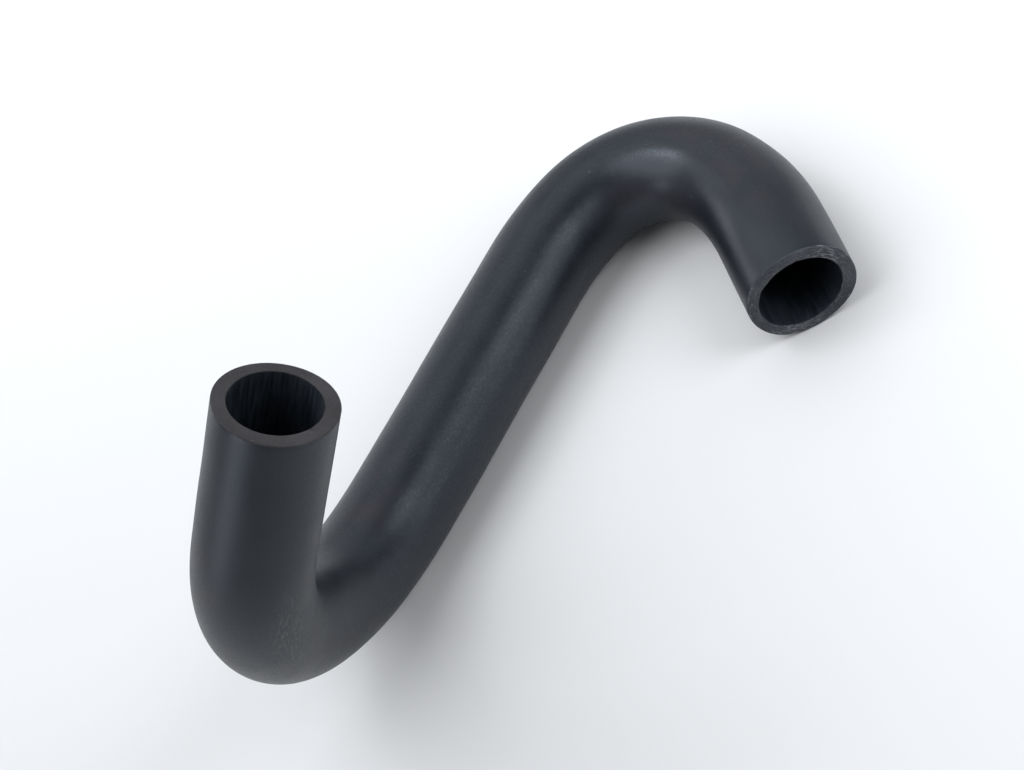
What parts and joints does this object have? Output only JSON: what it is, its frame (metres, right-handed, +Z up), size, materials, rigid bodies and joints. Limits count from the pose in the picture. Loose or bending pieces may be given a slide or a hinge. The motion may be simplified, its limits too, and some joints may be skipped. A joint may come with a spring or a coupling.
{
  "type": "crankcase breather hose",
  "caption": "Moulded black rubber hose with two bends in different planes and open, plain-cut ends, which carries crankcase gas between two spigots.",
  "frame": {"origin": "on the surface that the hose lies on, under the middle of its box", "axes": "+X along the middle leg, from the upright bend towards the flat bend; +Z up from the surface that it lies on; the short leg and the lean of the tall leg go towards -Y"},
  "size_m": [0.174, 0.0896, 0.1161],
  "materials": {
    "black_rubber": "satin moulded rubber with faint release dust and fine handling marks"
  },
  "bodies": {
    "root": {"breather_hose": "black_rubber"}
  },
  "joints": []
}
